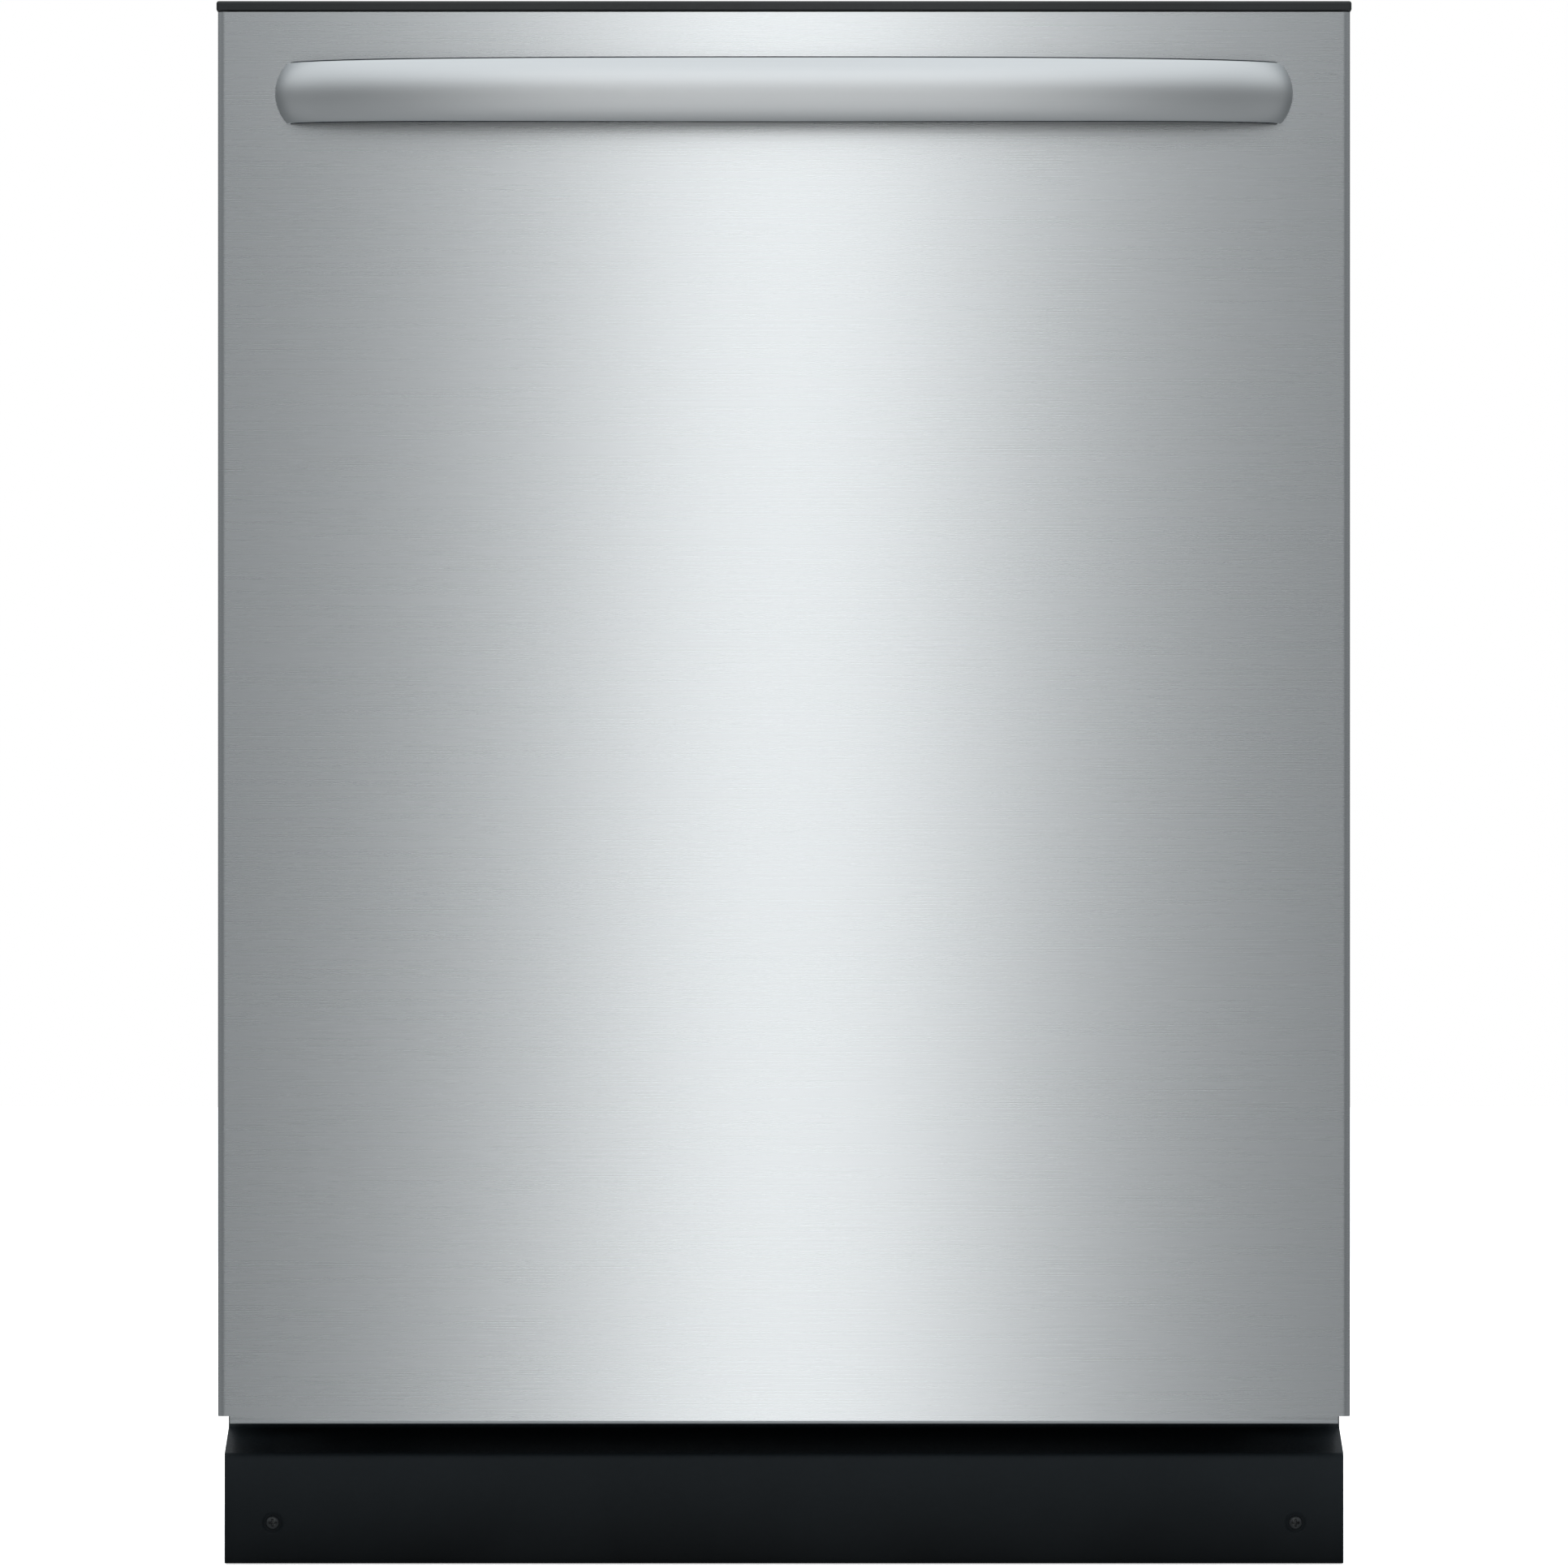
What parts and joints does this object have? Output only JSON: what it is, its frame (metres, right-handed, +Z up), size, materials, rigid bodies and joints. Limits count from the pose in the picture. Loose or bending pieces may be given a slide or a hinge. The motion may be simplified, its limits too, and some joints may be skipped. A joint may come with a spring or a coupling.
{
  "type": "built-in dishwasher",
  "caption": "Front-loading built-in dishwasher with a bottom-hinged stainless door, bowed bar handle, two pull-out wire racks, spray arms and a black toe panel.",
  "frame": {"origin": "middle of the floor under the machine, feet screwed fully in", "axes": "+Z up, -Y towards the person at the door, +X to that person's right"},
  "size_m": [0.607, 0.635, 0.838],
  "materials": {
    "stainless_skin": "horizontally brushed stainless, satin",
    "tub_stainless": "plain rolled stainless, semi-bright",
    "zinc_steel": "zinc-plated pressed steel, dull",
    "black_paint": "black satin powder coat",
    "console_plastic": "black moulded plastic, satin",
    "grey_plastic": "grey moulded polypropylene",
    "white_plastic": "white moulded plastic",
    "hose": "ribbed grey hose",
    "rubber": "black extruded seal",
    "coated_wire": "grey nylon coat over steel wire",
    "felt": "needled felt"
  },
  "bodies": {
    "root": {"tub": "tub_stainless", "front_frame": "zinc_steel", "base_frame": "zinc_steel", "front_crossmember": "zinc_steel", "mounting_bracket_left": "zinc_steel", "mounting_bracket_right": "zinc_steel", "hinge_bracket_left": "zinc_steel", "hinge_bracket_right": "zinc_steel", "door_strike": "zinc_steel", "junction_box": "zinc_steel", "door_spring_left": "zinc_steel", "door_spring_right": "zinc_steel", "heating_element": "zinc_steel", "kick_panel": "black_paint", "kick_screw_left": "black_paint", "kick_screw_right": "black_paint", "wash_motor": "black_paint", "sump": "grey_plastic", "feed_tube": "grey_plastic", "drain_pump": "white_plastic", "inlet_valve": "white_plastic", "drain_hose": "hose", "tub_gasket": "rubber", "insulation_blanket": "felt"},
    "door": {"door_outer_panel": "stainless_skin", "door_liner": "tub_stainless", "door_insulation": "felt", "control_console": "console_plastic", "handle_bar": "stainless_skin", "dispenser_housing": "grey_plastic", "hinge_arm_left": "zinc_steel", "hinge_arm_right": "zinc_steel", "control_board": "white_plastic"},
    "leveling_foot_front_left": {"leveling_foot_front_left": "zinc_steel"},
    "leveling_foot_front_right": {"leveling_foot_front_right": "zinc_steel"},
    "leveling_foot_rear_left": {"leveling_foot_rear_left": "zinc_steel"},
    "leveling_foot_rear_right": {"leveling_foot_rear_right": "zinc_steel"},
    "lower_wheel_front_left": {"lower_wheel_front_left": "grey_plastic"},
    "lower_wheel_front_right": {"lower_wheel_front_right": "grey_plastic"},
    "lower_wheel_rear_left": {"lower_wheel_rear_left": "grey_plastic"},
    "lower_wheel_rear_right": {"lower_wheel_rear_right": "grey_plastic"},
    "button_1": {"button_1": "console_plastic"},
    "button_2": {"button_2": "console_plastic"},
    "button_3": {"button_3": "console_plastic"},
    "button_4": {"button_4": "console_plastic"},
    "button_5": {"button_5": "console_plastic"},
    "float_cap": {"float_cap": "grey_plastic"},
    "filter_cylinder": {"filter_cylinder": "grey_plastic"},
    "lower_spray_arm": {"lower_spray_arm": "grey_plastic"},
    "lower_rack": {"lower_rack": "coated_wire"},
    "silverware_basket": {"silverware_basket": "grey_plastic"},
    "upper_rack": {"upper_rack": "coated_wire"},
    "upper_rail_left": {"upper_rail_left": "zinc_steel"},
    "upper_rail_right": {"upper_rail_right": "zinc_steel"},
    "cup_shelf": {"cup_shelf": "coated_wire"},
    "middle_spray_arm": {"middle_spray_arm": "grey_plastic"},
    "detergent_lid": {"detergent_lid": "grey_plastic"},
    "rinse_aid_cap": {"rinse_aid_cap": "grey_plastic"},
    "latch_rocker": {"latch_rocker": "console_plastic"}
  },
  "joints": [
    {"name": "door_hinge", "type": "hinge", "parent": "root", "child": "door", "pos_m": [0, -0.2395, 0.1], "axis": [1, 0, 0], "range_deg": [0, 90], "deforming": ["door_spring_left", "door_spring_right"]},
    {"name": "lower_rack_slide", "type": "slide", "parent": "root", "child": "lower_rack", "axis": [0, -1, 0], "range_m": [0, 0.1415]},
    {"name": "upper_rack_slide", "type": "slide", "parent": "root", "child": "upper_rack", "axis": [0, -1, 0], "range_m": [0, 0.4502]},
    {"name": "upper_rail_left_slide", "type": "slide", "parent": "root", "child": "upper_rail_left", "axis": [0, -1, 0], "range_m": [0, 0.2252]},
    {"name": "upper_rail_right_slide", "type": "slide", "parent": "root", "child": "upper_rail_right", "axis": [0, -1, 0], "range_m": [0, 0.2252]},
    {"name": "lower_wheel_front_left_roll", "type": "hinge", "parent": "lower_rack", "child": "lower_wheel_front_left", "pos_m": [-0.2621, -0.11, 0.1363], "axis": [1, 0, 0], "range_deg": [0, 451]},
    {"name": "lower_wheel_front_right_roll", "type": "hinge", "parent": "lower_rack", "child": "lower_wheel_front_right", "pos_m": [0.2621, -0.11, 0.1363], "axis": [1, 0, 0], "range_deg": [0, 451]},
    {"name": "lower_wheel_rear_left_roll", "type": "hinge", "parent": "lower_rack", "child": "lower_wheel_rear_left", "pos_m": [-0.2621, 0.165, 0.1363], "axis": [1, 0, 0], "range_deg": [0, 451]},
    {"name": "lower_wheel_rear_right_roll", "type": "hinge", "parent": "lower_rack", "child": "lower_wheel_rear_right", "pos_m": [0.2621, 0.165, 0.1363], "axis": [1, 0, 0], "range_deg": [0, 451]},
    {"name": "silverware_basket_lift", "type": "slide", "parent": "lower_rack", "child": "silverware_basket", "axis": [0, 0, 1], "range_m": [0, 0.13]},
    {"name": "cup_shelf_fold", "type": "hinge", "parent": "upper_rack", "child": "cup_shelf", "pos_m": [0.238, 0.02, 0.662], "axis": [0, 1, 0], "range_deg": [0, 88]},
    {"name": "middle_spray_arm_spin", "type": "hinge", "parent": "upper_rack", "child": "middle_spray_arm", "pos_m": [0, 0.03, 0.518], "axis": [0, 0, 1], "continuous": true},
    {"name": "lower_spray_arm_spin", "type": "hinge", "parent": "root", "child": "lower_spray_arm", "pos_m": [0, 0.03, 0.158], "axis": [0, 0, 1], "continuous": true},
    {"name": "filter_twist", "type": "hinge", "parent": "root", "child": "filter_cylinder", "pos_m": [0.056, 0.03, 0.1], "axis": [0, 0, 1], "range_deg": [0, 90]},
    {"name": "float_lift", "type": "slide", "parent": "root", "child": "float_cap", "axis": [0, 0, 1], "range_m": [0, 0.012]},
    {"name": "leveling_foot_front_left_screw", "type": "slide", "parent": "root", "child": "leveling_foot_front_left", "axis": [0, 0, -1], "range_m": [0, 0.028]},
    {"name": "leveling_foot_front_right_screw", "type": "slide", "parent": "root", "child": "leveling_foot_front_right", "axis": [0, 0, -1], "range_m": [0, 0.028]},
    {"name": "leveling_foot_rear_left_screw", "type": "slide", "parent": "root", "child": "leveling_foot_rear_left", "axis": [0, 0, -1], "range_m": [0, 0.028]},
    {"name": "leveling_foot_rear_right_screw", "type": "slide", "parent": "root", "child": "leveling_foot_rear_right", "axis": [0, 0, -1], "range_m": [0, 0.028]},
    {"name": "detergent_lid_slide", "type": "slide", "parent": "door", "child": "detergent_lid", "axis": [-1, 0, 0], "range_m": [0, 0.06]},
    {"name": "rinse_aid_cap_twist", "type": "hinge", "parent": "door", "child": "rinse_aid_cap", "pos_m": [0.074, -0.2175, 0.485], "axis": [0, 1, 0], "range_deg": [0, 90]},
    {"name": "latch_rocker_pivot", "type": "hinge", "parent": "door", "child": "latch_rocker", "pos_m": [0, -0.254, 0.8164], "axis": [-1, 0, 0], "range_deg": [0, 6], "stiffness_Nm_per_rad": 0.2, "springref_deg": -2.86},
    {"name": "button_1_press", "type": "slide", "parent": "door", "child": "button_1", "axis": [0, 0, -1], "range_m": [0, 0.0015], "stiffness_N_per_m": 400, "springref_m": -0.0008},
    {"name": "button_2_press", "type": "slide", "parent": "door", "child": "button_2", "axis": [0, 0, -1], "range_m": [0, 0.0015], "stiffness_N_per_m": 400, "springref_m": -0.0008},
    {"name": "button_3_press", "type": "slide", "parent": "door", "child": "button_3", "axis": [0, 0, -1], "range_m": [0, 0.0015], "stiffness_N_per_m": 400, "springref_m": -0.0008},
    {"name": "button_4_press", "type": "slide", "parent": "door", "child": "button_4", "axis": [0, 0, -1], "range_m": [0, 0.0015], "stiffness_N_per_m": 400, "springref_m": -0.0008},
    {"name": "button_5_press", "type": "slide", "parent": "door", "child": "button_5", "axis": [0, 0, -1], "range_m": [0, 0.0015], "stiffness_N_per_m": 400, "springref_m": -0.0008}
  ],
  "couplings": [
    {"joint": "lower_rack_slide", "follows": "door_hinge", "m_per_rad": 0.09},
    {"joint": "upper_rack_slide", "follows": "door_hinge", "m_per_rad": 0.2865},
    {"joint": "upper_rail_left_slide", "follows": "door_hinge", "m_per_rad": 0.14325},
    {"joint": "upper_rail_right_slide", "follows": "door_hinge", "m_per_rad": 0.14325},
    {"joint": "lower_wheel_front_left_roll", "follows": "door_hinge", "ratio": 5},
    {"joint": "lower_wheel_front_right_roll", "follows": "door_hinge", "ratio": 5},
    {"joint": "lower_wheel_rear_left_roll", "follows": "door_hinge", "ratio": 5},
    {"joint": "lower_wheel_rear_right_roll", "follows": "door_hinge", "ratio": 5}
  ]
}
